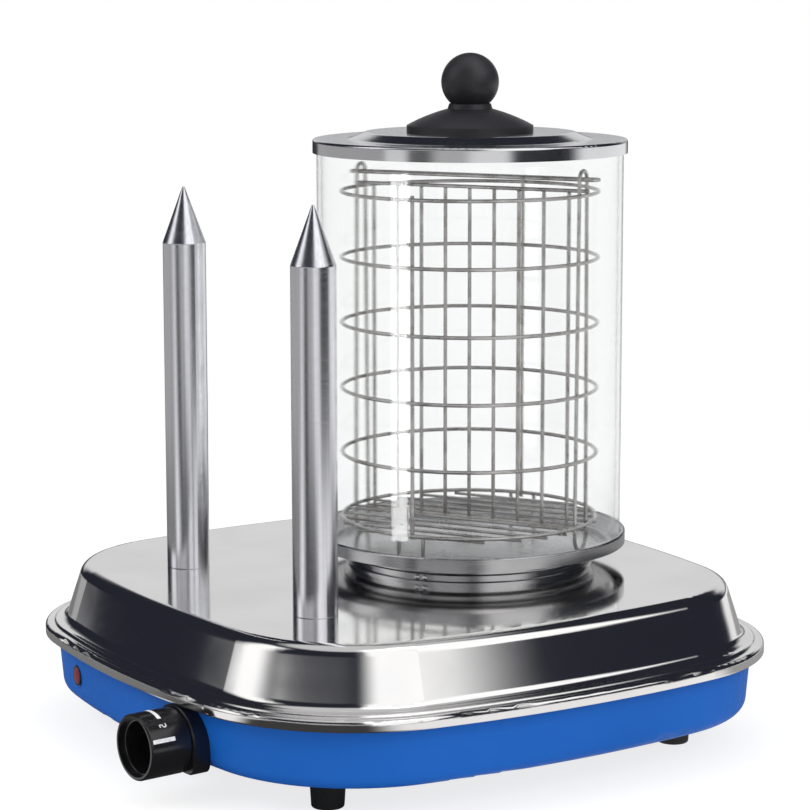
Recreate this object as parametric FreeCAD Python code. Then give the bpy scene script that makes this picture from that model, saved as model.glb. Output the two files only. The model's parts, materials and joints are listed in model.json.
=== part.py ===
import FreeCAD, Part
import math
import os

# Hot dog toaster: a heated steam bowl under a glass cylinder with a sausage basket,
# and two heated bread spikes, on a rounded square base. Millimetres, +Z up.
# The base is built round its own centre and shifted at the end, so that the origin
# is the bottom centre of the whole object's box. The front, with the knob, faces -Y.

V = FreeCAD.Vector

# Outline of the base: four long side arcs joined by four corner arcs
base_half = 168.0
side_radius = 600.0
corner_radius = 93.0

# Heights: feet, from the surface up to the ledge over the skirt, and from there to the deck
foot_height = 15.6
flange_top = 52.4
deck_rise = 30.6

# Deck pressing
deck_sheet = 0.8
skirt_height = 5.7
skirt_roll = 2.2
ledge_rise = 1.3
ledge_bend = 0.5
ledge_inset = 5.2
wall_foot_inset = 11.0
wall_top_inset = 20.5
deck_edge_radius = 7.0
deck_foot_radius = 5.0

# Housing tub
tub_wall = 1.5
tub_top_inset = 6.5
tub_taper = 3.0
tub_bottom_radius = 7.0
floor_run = 17.0
lip_inset = 2.4
lip_bend = 0.8

# Bottom cover
cover_inset = 72.0
cover_lap = 8.0
cover_sheet = 1.2
cover_corner = 24.0
cover_screw_along = 50.0
cover_screw_head = 1.6
cover_screw_play = 0.05
cover_screw_end = 3.0
vent_length = 30.0
vent_width = 4.0
vent_pitch = 12.0
vent_rows = 6

# Feet and the four long screws that hold deck, housing and feet together
foot_side_inset = 58.0
foot_rear_inset = 70.0
foot_top_radius = 9.0
foot_bottom_radius = 8.0
foot_edge_radius = 1.0
foot_recess_radius = 4.6
foot_recess_depth = 5.5
screw_radius = 2.0
screw_head_radius = 3.8
screw_head_height = 2.6
screw_clearance = 0.3
screw_end_gap = 0.5
spacer_radius = 5.0
weld_nut_radius = 5.0
weld_nut_height = 6.0

# Bread spikes
spike_x = 66.4
spike_y = -90.6
spike_radius = 11.2
spike_height = 201.0
spike_cone = 29.0
spike_tip_radius = 1.2
spike_shoulder = 3.2
spigot_length = 12.0
spike_bore = 6.2
spike_bore_end = 12.0
heater_gap = 0.15
spike_lead_length = 6.0
heater_tail = 2.0
spike_nut_wall = 4.0
spike_nut_height = 6.0
spike_washer_width = 5.0
spike_washer_height = 1.6

# Glass cylinder
glass_radius = 80.5
glass_wall = 2.5
glass_height = 207.15
glass_edge = 0.8
seat_gap = 0.3

# Steam bowl and its collar, on the cylinder's axis
axis_y = 44.0
bowl_sheet = 0.8
bowl_floor_height = 9.8
bowl_rim_height = 17.6
bowl_slope_run = 6.6
glass_step = 1.1
bowl_rim_width = 1.7
bowl_band = 6.6
bowl_floor_bend = 3.0
bowl_rim_bend = 0.9
collar_sheet = 1.0
collar_setback = 8.0
collar_band = 3.6
collar_step = 0.9
collar_waist_step = 3.4
collar_ledge = 3.6
collar_foot_flare = 2.0
stud_angle = -56.5
stud_spread = 4.4
stud_radius = 1.5
stud_shank = 0.75
stud_shank_length = 0.6

# Heating plate, element and clamp under the bowl
deck_opening_ledge = 3.0
plate_clearance = 3.0
plate_height = 8.0
element_setback = 16.0
element_tube = 4.0
element_sweep = 300.0
element_tail = 14.0
clamp_margin = 4.0
clamp_width = 16.0
clamp_sheet = 2.0
clamp_bolt_radius = 2.5
clamp_bolt_offset = 24.0
clamp_bolt_end = 2.0
clamp_nut_flats = 8.0
clamp_nut_height = 4.0
cutout_radius = 8.0
cutout_height = 6.0
cutout_tab = (1.0, 6.0, 8.0)

# Lid pressing
lid_overhang = 2.1
lid_sheet = 0.8
lid_skirt = 7.2
lid_roll = 1.4
lid_step_bend = 5.0
lid_rim_width = 18.9
lid_step_run = 9.1
lid_plateau_height = 3.6

# Lid knob
knob_base_radius = 33.2
knob_base_edge = 3.2
knob_dome_height = 8.6
knob_neck_radius = 10.2
knob_collar_radius = 11.8
knob_collar_height = 2.6
knob_collar_taper = 0.8
ball_radius = 15.1
ball_centre_height = 25.8
lid_screw_radius = 2.5
lid_screw_head_radius = 4.6
lid_screw_head_height = 3.0
lid_screw_depth = 14.0
lid_washer_radius = 9.0
lid_washer_height = 1.2

# Sausage basket, in a frame turned about the cylinder's axis
divider_angle = 30.0
ring_wire = 1.0
ring_clearance = 9.5
ring_count = 5
base_ring_rise = 14.7
top_ring_drop = 12.5
bar_wire = 0.8
bar_margin = 10.35
bar_count = 10
weld_gap = 0.05
upright_margin = 10.3
upright_count = 9
basket_headroom = 15.0
post_bottom_arc = 7.0
post_top_arc = 4.6
foot_loop_width = 14.0
foot_loop_arc = 5.0
handle_half_width = 2.5
handle_rise = 0.2
handle_overrun = 9.5
handle_tail = 3.0

# Control knob, its bezel and the thermostat behind them, square to the curved front
knob_place = 58.4
skirt_gap = 0.4
knob_radius = 16.25
knob_depth = 22.2
knob_edge = 1.0
knob_cup_radius = 12.6
knob_cup_depth = 15.0
knob_cup_offset = 1.0
knob_ledge_radius = 14.4
knob_ledge_depth = 2.6
knob_ledge_edge = 0.4
knob_back_wall = 2.0
knob_back_depth = 4.0
knob_hub_wall = 3.0
bezel_radius = 17.4
bezel_drop = 14.8
bezel_corner = 5.0
bezel_proud = 0.4
bezel_edge = 0.8
knob_gap = 0.4
shaft_radius = 3.0
shaft_clearance = 0.06
shaft_engagement = 1.5
shaft_end_gap = 0.2
shaft_inside = 12.0
bush_radius = 4.5
bush_clearance = 0.2
thermostat_width = 30.0
thermostat_height = 22.0
thermostat_depth = 24.0
thermostat_corner = 3.0
wall_gap = 0.4
thermostat_nut_flats = 14.0
thermostat_nut_height = 2.6
nut_pocket_gap = 0.6
nut_pocket_margin = 2.0
bulb_radius = 2.6
bulb_length = 56.0
bulb_shift = 10.0
capillary_radius = 0.9
capillary_bend = 8.0
capillary_drop = 30.0

# Indicator lamp, square to the curved front
lamp_place = 67.8
lamp_height = 31.8
lamp_rim_radius = 5.4
lamp_rim_proud = 0.9
lamp_rim_edge = 0.4
lamp_barrel_radius = 4.9
lamp_barrel_length = 20.0
lens_radius = 4.5
lens_clearance = 0.05
lens_depth = 4.0
lens_dome = 0.6
lamp_nut_width = 2.1
lamp_nut_height = 3.0

# Terminal block, cable bush and wiring
terminal_size = (36.0, 18.0, 13.0)
cable_x = -6.0
terminal_inset = 50.0
terminal_screw_radius = 2.4
terminal_screw_clearance = 0.3
terminal_well = 4.0
terminal_screw_height = 3.4
terminal_poles = 3
cable_bush_height = 29.6
cable_bush_radius = 9.5
cable_bush_barrel = 7.0
cable_bush_bore = 3.6
cable_bush_proud = 3.0
cable_bush_reach = 8.5
cable_bush_edge = 1.0
wire_radius = 1.3
wire_bend = 8.0
wire_spread = 1.6

# Values that follow from the sizes above
side_offset = side_radius - base_half
arc_gap = side_radius - corner_radius
corner_offset = (math.sqrt(2.0 * arc_gap ** 2 - side_offset ** 2) - side_offset) / 2.0
side_half_angle = math.degrees(math.atan2(corner_offset, corner_offset + side_offset))
floor_top = foot_height + tub_wall
skirt_bottom = flange_top - skirt_height
deck_top = flange_top + deck_rise
deck_under = deck_top - deck_sheet
wall_top = flange_top - deck_sheet - tub_wall
foot_x = base_half - foot_side_inset
foot_rear = base_half - foot_rear_inset
foot_places = [(sx * foot_x, y) for sx in (-1, 1) for y in (-foot_x, foot_rear)]
cover_half = base_half - cover_inset
spigot_radius = spike_radius - spike_shoulder
spike_bore_depth = spike_height - spike_cone - spike_bore_end
spike_places = ((-spike_x, spike_y), (spike_x, spike_y))
bowl_slope_top = glass_radius + glass_step
bowl_rim_radius = bowl_slope_top + bowl_rim_width
bowl_floor_radius = bowl_slope_top - bowl_slope_run
bowl_floor = deck_top + bowl_floor_height
bowl_under = bowl_floor - bowl_sheet
bowl_rim = deck_top + bowl_rim_height
bowl_slope = (bowl_rim_height - bowl_floor_height) / bowl_slope_run
collar_top_radius = bowl_floor_radius - collar_setback
collar_waist_radius = collar_top_radius - collar_waist_step
collar_inner = collar_waist_radius - collar_ledge
collar_foot_radius = collar_waist_radius + collar_foot_flare
deck_opening = collar_inner - deck_opening_ledge
plate_radius = deck_opening - plate_clearance
element_radius = plate_radius - element_setback
glass_bottom = bowl_floor + (glass_radius - bowl_floor_radius) * bowl_slope + 1.5 * seat_gap
glass_top = glass_bottom + glass_height
lid_top_edge = glass_top + seat_gap + lid_sheet
lid_plateau = lid_top_edge + lid_plateau_height
lid_radius = glass_radius + lid_overhang
lid_step_foot = lid_radius - lid_rim_width
lid_step_top = lid_step_foot - lid_step_run
ring_radius = glass_radius - glass_wall - ring_clearance - ring_wire
post_top_height = lid_top_edge - deck_top - basket_headroom
base_ring_level = bowl_floor_height + base_ring_rise
top_ring_level = post_top_height - top_ring_drop
ring_pitch = (top_ring_level - base_ring_level) / ring_count
bar_pitch = 2 * (ring_radius - bar_margin) / (bar_count - 1)
upright_pitch = 2 * (ring_radius - upright_margin) / (upright_count - 1)
knob_height = skirt_bottom - skirt_gap - bezel_radius
lamp_nut_radius = lamp_barrel_radius + lamp_nut_width
terminal_y = base_half - terminal_inset


# Flat profiles: lists of (distance, height, corner radius)

def corner_arc(before, corner, after, radius):
    """Tangent points and middle of the arc that rounds one corner of a profile."""
    ax, az = before[0] - corner[0], before[1] - corner[1]
    bx, bz = after[0] - corner[0], after[1] - corner[1]
    la, lb = math.hypot(ax, az), math.hypot(bx, bz)
    ax, az, bx, bz = ax / la, az / la, bx / lb, bz / lb
    half = math.acos(max(-1.0, min(1.0, ax * bx + az * bz))) / 2.0
    reach = radius / math.tan(half)
    mx, mz = ax + bx, az + bz
    length = math.hypot(mx, mz)
    middle = radius / math.sin(half) - radius
    return ((corner[0] + ax * reach, corner[1] + az * reach),
            (corner[0] + mx / length * middle, corner[1] + mz / length * middle),
            (corner[0] + bx * reach, corner[1] + bz * reach))


def profile_face(points):
    """Face in the XZ plane inside a closed profile with rounded corners."""
    count = len(points)
    stops = []
    for i in range(count):
        before, corner, after = points[i - 1], points[i], points[(i + 1) % count]
        if corner[2] > 0.02:
            stops.append(corner_arc(before, corner, after, corner[2]))
        else:
            stops.append((corner[:2],))
    edges = []
    for i in range(count):
        here, following = stops[i], stops[(i + 1) % count]
        if len(here) == 3:
            edges.append(Part.Arc(*[V(x, 0, z) for x, z in here]).toShape())
        start, end = V(here[-1][0], 0, here[-1][1]), V(following[0][0], 0, following[0][1])
        if start.distanceToPoint(end) > 1e-6:
            edges.append(Part.LineSegment(start, end).toShape())
    return Part.Face(Part.Wire(edges))


def offset_path(points, distance):
    """The same path moved to the right of its direction of travel, radii included."""
    lines = []
    for (x0, z0, _), (x1, z1, _) in zip(points, points[1:]):
        length = math.hypot(x1 - x0, z1 - z0)
        nx, nz = (z1 - z0) / length, (x0 - x1) / length
        lines.append((x0 + nx * distance, z0 + nz * distance, (x1 - x0) / length, (z1 - z0) / length))
    moved = [(lines[0][0], lines[0][1], 0.0)]
    for first, second, corner in zip(lines, lines[1:], points[1:-1]):
        cross = first[2] * second[3] - first[3] * second[2]
        along = ((second[0] - first[0]) * second[3] - (second[1] - first[1]) * second[2]) / cross
        radius = corner[2] + (distance if cross > 0 else -distance)
        moved.append((first[0] + first[2] * along, first[1] + first[3] * along, max(radius, 0.0)))
    end, last = points[-1], lines[-1]
    nx, nz = last[3], -last[2]
    moved.append((end[0] + nx * distance, end[1] + nz * distance, 0.0))
    return moved


def sheet_profile(path, thickness):
    """Closed profile of a sheet whose outer side is the given path."""
    return list(path) + list(reversed(offset_path(path, thickness)))


def turned(points, angle=360.0):
    """Solid of revolution about Z."""
    return profile_face(points).revolve(V(0, 0, 0), V(0, 0, 1), angle)


def at(shape, x=0.0, y=0.0, z=0.0):
    """The shape moved to a place."""
    moved = shape.copy()
    moved.translate(V(x, y, z))
    return moved


def tube(outer, inner, low, high):
    """Ring between two heights."""
    return turned([(inner, low, 0), (outer, low, 0), (outer, high, 0), (inner, high, 0)])


def disc(radius, low, high):
    """Upright cylinder between two heights."""
    return Part.makeCylinder(radius, high - low, V(0, 0, low))


def forward_disc(radius, x, z, y_back, y_front):
    """Cylinder along the knob's direction, from the back to the front."""
    return Part.makeCylinder(radius, y_back - y_front, V(x, y_back, z), V(0, -1, 0))


def hexagon(flats, low, high):
    """Hexagonal prism."""
    corner = flats / math.sqrt(3.0)
    points = [V(corner * math.cos(math.radians(60 * k)), corner * math.sin(math.radians(60 * k)), low)
              for k in range(7)]
    return Part.Face(Part.makePolygon(points)).extrude(V(0, 0, high - low))


def rounded_plate(half_x, half_y, radius, low, thickness):
    """Rectangular plate with rounded corners."""
    plate = Part.makeBox(2 * half_x, 2 * half_y, thickness, V(-half_x, -half_y, low))
    upright = [e for e in plate.Edges if abs(e.Vertexes[0].Z - e.Vertexes[-1].Z) > thickness / 2]
    return plate.makeFillet(radius, upright)


# The base outline and what follows it

def outline_arcs():
    """Centre, radius, start and sweep of each arc of the base outline."""
    arcs = []
    for k in range(4):
        turn = 90.0 * k
        c, s = math.cos(math.radians(turn)), math.sin(math.radians(turn))
        arcs.append((-side_offset * c, -side_offset * s, side_radius,
                     turn - side_half_angle, 2 * side_half_angle))
        arcs.append((corner_offset * (c - s), corner_offset * (c + s), corner_radius,
                     turn + side_half_angle, 90.0 - 2 * side_half_angle))
    return arcs


def outline_plate(inset, low, thickness):
    """Plate inside the base outline, set in by a distance."""
    edges = []
    for cx, cy, radius, start, sweep in outline_arcs():
        points = []
        away = radius - inset
        for part in (0.0, 0.5, 1.0):
            angle = math.radians(start + sweep * part)
            points.append(V(cx + away * math.cos(angle), cy + away * math.sin(angle), low))
        edges.append(Part.Arc(*points).toShape())
    return Part.Face(Part.Wire(edges)).extrude(V(0, 0, thickness))


def outline_ring(profile):
    """A profile of (inset, height, radius) carried round the base outline."""
    sectors = []
    for cx, cy, radius, start, sweep in outline_arcs():
        sector = turned([(radius - inset, z, r) for inset, z, r in profile], sweep)
        sector.rotate(V(0, 0, 0), V(0, 0, 1), start)
        sectors.append(at(sector, cx, cy))
    return sectors[0].multiFuse(sectors[1:])


def front_y(x, inset):
    """Y of the front side's long arc, set in by a distance, at a given X."""
    return side_offset - math.sqrt((side_radius - inset) ** 2 - x * x)


def front_angle(place):
    """Turn of the front side's outward direction at a place along it."""
    return math.degrees(math.asin(place / side_radius))


def on_front(shape, place):
    """Carries a piece made at the middle of the front side along that side's arc."""
    moved = shape.copy()
    moved.rotate(V(0, side_offset, 0), V(0, 0, 1), front_angle(place))
    return moved


def front_point(place, x, y, z):
    """A point given at the middle of the front side, carried the same way."""
    angle = math.radians(front_angle(place))
    away = side_offset - y
    across, along = math.cos(angle), math.sin(angle)
    return (x * across + away * along, side_offset + x * along - away * across, z)


def tub_inset(z):
    """Inset of the housing's outer wall at a height."""
    return tub_top_inset + tub_taper * (wall_top - z) / (wall_top - foot_height)


def tub_inner_inset(z):
    """Inset of the housing's inner surface at a height, rounded bottom edge included."""
    centre = foot_height + tub_bottom_radius
    if z >= centre:
        return tub_inset(z) + tub_wall
    inner = tub_bottom_radius - tub_wall
    return tub_inset(centre) + tub_bottom_radius - math.sqrt(inner ** 2 - (centre - z) ** 2)


def tub_path():
    """Outer side of the housing, from the floor up to the lip."""
    floor_inset = tub_inset(foot_height)
    return [(floor_inset + tub_bottom_radius + floor_run, foot_height, 0.0),
            (floor_inset, foot_height, tub_bottom_radius),
            (tub_top_inset, wall_top, lip_bend),
            (lip_inset, wall_top, 0.0)]


def deck_path():
    """Outer side of the deck pressing, from the skirt up to the plateau."""
    ledge = flange_top + ledge_rise
    return [(0.0, skirt_bottom, 0.0),
            (0.0, flange_top, skirt_roll),
            (ledge_inset - ledge_bend, flange_top, ledge_bend),
            (ledge_inset + ledge_bend, ledge, ledge_bend),
            (wall_foot_inset, ledge, deck_foot_radius),
            (wall_top_inset, deck_top, deck_edge_radius),
            (wall_top_inset + deck_edge_radius + 1.0, deck_top, 0.0)]


bezel_front = -base_half - bezel_proud
knob_back = bezel_front - knob_gap
knob_front = knob_back - knob_depth
panel_back = wall_gap + front_y(thermostat_width / 2, tub_inner_inset(knob_height - thermostat_height / 2))
lamp_wall = front_y(0.0, tub_inset(lamp_height))

# The knob's rounded front edge is the foremost point of the whole toaster
knob_turned = math.radians(front_angle(knob_place))
knob_reach = ((side_offset - knob_front - knob_edge) * math.cos(knob_turned)
              + (knob_radius - knob_edge) * math.sin(knob_turned) + knob_edge - side_offset)
base_y = (knob_reach - base_half) / 2.0


# Casings

def mirrored_inset(path):
    """Insets grow inwards, so the path is turned round to keep its outer side on the left."""
    return [(-inset, z, r) for inset, z, r in path]


def inset_sheet(path, thickness):
    """Sheet profile for a path given in insets from the outline."""
    closed = sheet_profile(list(reversed(mirrored_inset(path))), thickness)
    return [(-x, z, r) for x, z, r in closed]


def housing():
    """Painted tub: tapered wall, rounded bottom edge, floor with the service opening."""
    walls = outline_ring(inset_sheet(list(reversed(tub_path())), -tub_wall))
    floor = outline_plate(tub_path()[0][0], foot_height, tub_wall)
    tub = walls.fuse(floor).removeSplitter()
    opening = cover_half - cover_lap
    cutters = [rounded_plate(opening, opening, cover_corner - cover_lap / 2, foot_height - 1, tub_wall + 2)]
    for x, y in foot_places:
        cutters.append(at(disc(screw_radius + screw_clearance, foot_height - 1, floor_top + 1), x, y))
    for x, y in cover_screw_places():
        cutters.append(at(disc(screw_radius, foot_height - 1, floor_top + 1), x, y))
    deep = tub_bottom_radius + tub_top_inset + tub_taper + tub_wall
    bush_hole = forward_disc(bush_radius + bush_clearance, 0, knob_height, deep - base_half, -base_half - 1)
    lamp_hole = forward_disc(lamp_barrel_radius + bush_clearance / 2, 0, lamp_height,
                             deep - base_half, -base_half - 1)
    cutters.append(on_front(bush_hole, knob_place))
    cutters.append(on_front(lamp_hole, -lamp_place))
    cutters.append(forward_disc(cable_bush_barrel + bush_clearance / 2, cable_x, cable_bush_height,
                                base_half, base_half - deep))
    return tub.cut(Part.makeCompound(cutters))


def cover_screw_places():
    """Eight screws round the bottom cover."""
    places = []
    across = cover_half - cover_lap / 2
    for a in (-across, across):
        for b in (-cover_screw_along, cover_screw_along):
            places.append((a, b))
            places.append((b, a))
    return places


def bottom_cover():
    """Flat plate under the floor opening, with two banks of vent slots."""
    low = foot_height - cover_sheet
    plate = rounded_plate(cover_half, cover_half, cover_corner, low, cover_sheet)
    cutters = []
    for row in range(vent_rows):
        y = (row - (vent_rows - 1) / 2.0) * vent_pitch
        for x in (-vent_length, vent_length):
            slot = rounded_plate(vent_length / 2, vent_width / 2, 0.48 * vent_width, low - 1, cover_sheet + 2)
            cutters.append(at(slot, x, y))
    for x, y in cover_screw_places():
        cutters.append(at(disc(screw_radius + screw_clearance, low - 1, foot_height + 1), x, y))
    return plate.cut(Part.makeCompound(cutters))


def cover_screws():
    """Short pan head screws through the cover into the floor."""
    low = foot_height - cover_sheet
    head = disc(screw_head_radius, low - cover_screw_head, low)
    shank = disc(screw_radius - cover_screw_play, low, floor_top + cover_screw_end)
    screw = head.fuse(shank)
    return Part.makeCompound([at(screw, x, y) for x, y in cover_screw_places()])


def deck():
    """Mirror finished pressing: rolled skirt, ledge, sloped wall and flat plateau."""
    walls = outline_ring(inset_sheet(list(reversed(deck_path())), -deck_sheet))
    plateau = outline_plate(deck_path()[-1][0], deck_under, deck_sheet)
    shell = walls.fuse(plateau).removeSplitter()
    cutters = [at(disc(deck_opening, deck_under - 1, deck_top + 1), 0, axis_y)]
    for x, y in spike_places:
        cutters.append(at(disc(spigot_radius + 0.1, deck_under - 1, deck_top + 1), x, y))
    return shell.cut(Part.makeCompound(cutters))


def feet():
    """Four tapered rubber feet, each recessed for its screw."""
    profile = [(screw_radius + screw_clearance, foot_recess_depth, 0),
               (foot_recess_radius, foot_recess_depth, 0),
               (foot_recess_radius, 0, 0),
               (foot_bottom_radius, 0, foot_edge_radius),
               (foot_top_radius, foot_height, 0),
               (screw_radius + screw_clearance, foot_height, 0)]
    foot = turned(profile)
    return Part.makeCompound([at(foot, x, y) for x, y in foot_places])


def frame_screws():
    """Long screws from the feet up to the nuts under the deck."""
    head = disc(screw_head_radius, foot_recess_depth - screw_head_height, foot_recess_depth)
    shank = disc(screw_radius, foot_recess_depth, deck_under - screw_end_gap)
    screw = head.fuse(shank)
    return Part.makeCompound([at(screw, x, y) for x, y in foot_places])


def spacer_tubes():
    """Tubes that carry the deck on the housing's floor."""
    spacer = tube(spacer_radius, screw_radius + screw_clearance, floor_top, deck_under - weld_nut_height)
    return Part.makeCompound([at(spacer, x, y) for x, y in foot_places])


def weld_nuts():
    """Round nuts welded under the deck."""
    nut = tube(weld_nut_radius, screw_radius, deck_under - weld_nut_height, deck_under)
    return Part.makeCompound([at(nut, x, y) for x, y in foot_places])


# Bread spikes

def spike(x, y):
    """Turned aluminium spike: cone, shank, spigot and the bore for its heater."""
    shoulder = spike_height - spike_cone
    profile = [(spike_bore, -spigot_length, 0),
               (spigot_radius, -spigot_length, 0),
               (spigot_radius, 0, 0),
               (spike_radius, 0, 0.3),
               (spike_radius, shoulder, 1.5),
               (spike_tip_radius * 0.5, spike_height, spike_tip_radius * 0.4),
               (0, spike_height, 0),
               (0, spike_bore_depth, 0),
               (spike_bore, spike_bore_depth, 0)]
    return at(turned(profile), x, y, deck_top)


def spike_heater(x, y):
    """Cartridge heater in the spike's bore, with its lead sleeve below."""
    end = -spigot_length - heater_tail
    rod = disc(spike_bore - heater_gap, end, spike_bore_depth - 1.0)
    lead = disc(spike_bore / 2, end - spike_lead_length, end)
    return at(rod.fuse(lead), x, y, deck_top)


def spike_washers():
    """Washers between the deck and the spike nuts."""
    top = deck_under
    ring = tube(spigot_radius + spike_washer_width, spigot_radius + 0.1, top - spike_washer_height, top)
    return Part.makeCompound([at(ring, x, y) for x, y in spike_places])


def spike_nuts():
    """Large hexagon nuts that clamp the spikes from below."""
    top = deck_under - spike_washer_height
    nut = hexagon(2 * (spigot_radius + spike_nut_wall), top - spike_nut_height, top)
    nut = nut.cut(disc(spigot_radius, top - spike_nut_height - 1, top + 1))
    return Part.makeCompound([at(nut, x, y) for x, y in spike_places])


# Steam bowl and heating

def steam_bowl():
    """Shallow water bowl with a sloping wall and a turned down rim."""
    path = [(0, bowl_floor, 0),
            (bowl_floor_radius, bowl_floor, bowl_floor_bend),
            (bowl_slope_top, bowl_rim, bowl_rim_bend),
            (bowl_rim_radius, bowl_rim, bowl_rim_bend),
            (bowl_rim_radius, bowl_rim - bowl_band, 0)]
    return at(turned(sheet_profile(path, bowl_sheet)), 0, axis_y)


def bowl_collar():
    """Stepped ring that stands the bowl on the deck."""
    path = [(collar_inner, bowl_under, 0),
            (collar_top_radius, bowl_under, 1.2),
            (collar_top_radius, bowl_under - collar_band, 1.2),
            (collar_waist_radius, bowl_under - collar_band - collar_step, 0.4),
            (collar_waist_radius, deck_top + collar_sheet, 0.4),
            (collar_foot_radius, deck_top + collar_sheet, 0)]
    ring = turned(sheet_profile(path, collar_sheet))
    hole = Part.makeCylinder(stud_shank + 0.05, 6.0, V(collar_waist_radius - 4.0, 0, 0), V(1, 0, 0))
    return at(ring.cut(Part.makeCompound(round_the_collar(hole))), 0, axis_y)


def round_the_collar(piece):
    """Two copies of a piece that lies along X, side by side at the studs' places."""
    copies = []
    step = math.degrees(stud_spread / 2 / collar_waist_radius)
    for angle in (stud_angle - step, stud_angle + step):
        copy = at(piece, 0, 0, deck_top + collar_sheet + stud_radius + 0.2)
        copy.rotate(V(0, 0, 0), V(0, 0, 1), angle)
        copies.append(copy)
    return copies


def collar_studs():
    """Two small dome headed studs at the foot of the collar."""
    end = -collar_sheet - stud_shank_length
    stud = turned([(0, end, 0), (stud_shank, end, 0), (stud_shank, 0, 0),
                   (stud_radius, 0, 0), (stud_radius, 0.8, 0.5), (0, 1.4, 0)])
    stud.rotate(V(0, 0, 0), V(0, 1, 0), 90)
    stud = at(stud, collar_waist_radius + 0.02)
    return at(Part.makeCompound(round_the_collar(stud)), 0, axis_y)


def heating_plate():
    """Thick aluminium plate pressed against the bowl's floor."""
    return at(disc(plate_radius, bowl_under - plate_height, bowl_under), 0, axis_y)


def element_place():
    """Height of the element tube's centre."""
    return bowl_under - plate_height - element_tube


def heating_element():
    """Tubular element: an open ring with two tails that turn down."""
    z = element_place()
    start = math.radians(-90 + (360 - element_sweep) / 2)
    ring = Part.makeTorus(element_radius, element_tube, V(0, 0, 0), V(0, 0, 1), -180, 180, element_sweep)
    ring.rotate(V(0, 0, 0), V(0, 0, 1), math.degrees(start))
    body = at(ring, 0, 0, z)
    for angle in (start, start + math.radians(element_sweep)):
        x, y = element_radius * math.cos(angle), element_radius * math.sin(angle)
        knee = Part.makeSphere(element_tube, V(x, y, z))
        tail = Part.makeCylinder(element_tube * 0.9, element_tail, V(x, y, z), V(0, 0, -1))
        body = body.fuse(knee).fuse(tail)
    return at(body, 0, axis_y)


def element_clamp():
    """Flat strap that holds the element against the plate."""
    low = element_place() - element_tube - clamp_sheet
    strap = rounded_plate(plate_radius - clamp_margin, clamp_width / 2, 0.49 * clamp_width, low, clamp_sheet)
    holes = [at(disc(clamp_bolt_radius + 0.2, low - 1, low + clamp_sheet + 1), sx * clamp_bolt_offset)
             for sx in (-1, 1)]
    return at(strap.cut(Part.makeCompound(holes)), 0, axis_y)


def clamp_bolts():
    """Studs that hang from the heating plate, through the strap."""
    top = bowl_under - plate_height
    low = element_place() - element_tube - clamp_sheet - clamp_nut_height - clamp_bolt_end
    bolt = disc(clamp_bolt_radius, low, top)
    return Part.makeCompound([at(bolt, sx * clamp_bolt_offset, axis_y) for sx in (-1, 1)])


def clamp_nuts():
    """Hexagon nuts on the studs."""
    top = element_place() - element_tube - clamp_sheet
    nut = hexagon(clamp_nut_flats, top - clamp_nut_height, top)
    nut = nut.cut(disc(clamp_bolt_radius, top - clamp_nut_height - 1, top + 1))
    return Part.makeCompound([at(nut, sx * clamp_bolt_offset, axis_y) for sx in (-1, 1)])


def thermal_cutout():
    """Round overheat cut-out under the middle of the strap."""
    top = element_place() - element_tube - clamp_sheet
    body = disc(cutout_radius, top - cutout_height, top)
    thick, wide, tall = cutout_tab
    for sx in (-1, 1):
        corner = V((sx * cutout_radius - thick) / 2, -wide / 2, top - cutout_height - tall)
        body = body.fuse(Part.makeBox(thick, wide, tall, corner))
    return at(body, 0, axis_y)


# Cylinder, lid and lid knob

def glass_cylinder():
    """Open glass tube that stands on the bowl's sloping wall."""
    inner = glass_radius - glass_wall
    profile = [(inner, glass_bottom, glass_edge), (glass_radius, glass_bottom, glass_edge),
               (glass_radius, glass_top, glass_edge), (inner, glass_top, glass_edge)]
    return at(turned(profile), 0, axis_y)


def lid():
    """Pressed lid with a turned down skirt and a raised middle."""
    path = [(lid_screw_radius + 0.2, lid_plateau, 0),
            (lid_step_top, lid_plateau, lid_step_bend),
            (lid_step_foot, lid_top_edge, lid_step_bend),
            (lid_radius, lid_top_edge, lid_roll),
            (lid_radius, lid_top_edge - lid_skirt, 0)]
    return at(turned(sheet_profile(path, lid_sheet)), 0, axis_y)


def lid_knob():
    """Mushroom foot, small collar and ball, bored for its screw."""
    neck = knob_base_edge + knob_dome_height
    ball_join = ball_centre_height - math.sqrt(ball_radius ** 2 - knob_neck_radius ** 2)
    dome_mid = (knob_base_radius * 0.72, knob_base_edge + knob_dome_height * 0.52)
    edges = []
    hole = lid_screw_radius
    corners = [(hole, lid_screw_depth), (hole, 0), (knob_base_radius, 0), (knob_base_radius, knob_base_edge)]
    for (x0, z0), (x1, z1) in zip(corners, corners[1:]):
        edges.append(Part.LineSegment(V(x0, 0, z0), V(x1, 0, z1)).toShape())
    edges.append(Part.Arc(V(knob_base_radius, 0, knob_base_edge), V(dome_mid[0], 0, dome_mid[1]),
                          V(knob_collar_radius, 0, neck)).toShape())
    collar_top = neck + knob_collar_height
    slim = (knob_collar_radius - knob_collar_taper, collar_top)
    for (x0, z0), (x1, z1) in zip([(knob_collar_radius, neck), slim], [slim, (knob_neck_radius, ball_join)]):
        edges.append(Part.LineSegment(V(x0, 0, z0), V(x1, 0, z1)).toShape())
    top = ball_centre_height + ball_radius
    edges.append(Part.Arc(V(knob_neck_radius, 0, ball_join), V(ball_radius, 0, ball_centre_height),
                          V(0, 0, top)).toShape())
    edges.append(Part.LineSegment(V(0, 0, top), V(0, 0, lid_screw_depth)).toShape())
    edges.append(Part.LineSegment(V(0, 0, lid_screw_depth), V(hole, 0, lid_screw_depth)).toShape())
    face = Part.Face(Part.Wire(edges))
    return at(face.revolve(V(0, 0, 0), V(0, 0, 1), 360), 0, axis_y, lid_plateau)


def lid_washer():
    """Washer under the lid."""
    top = lid_plateau - lid_sheet
    return at(tube(lid_washer_radius, lid_screw_radius + 0.2, top - lid_washer_height, top), 0, axis_y)


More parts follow.
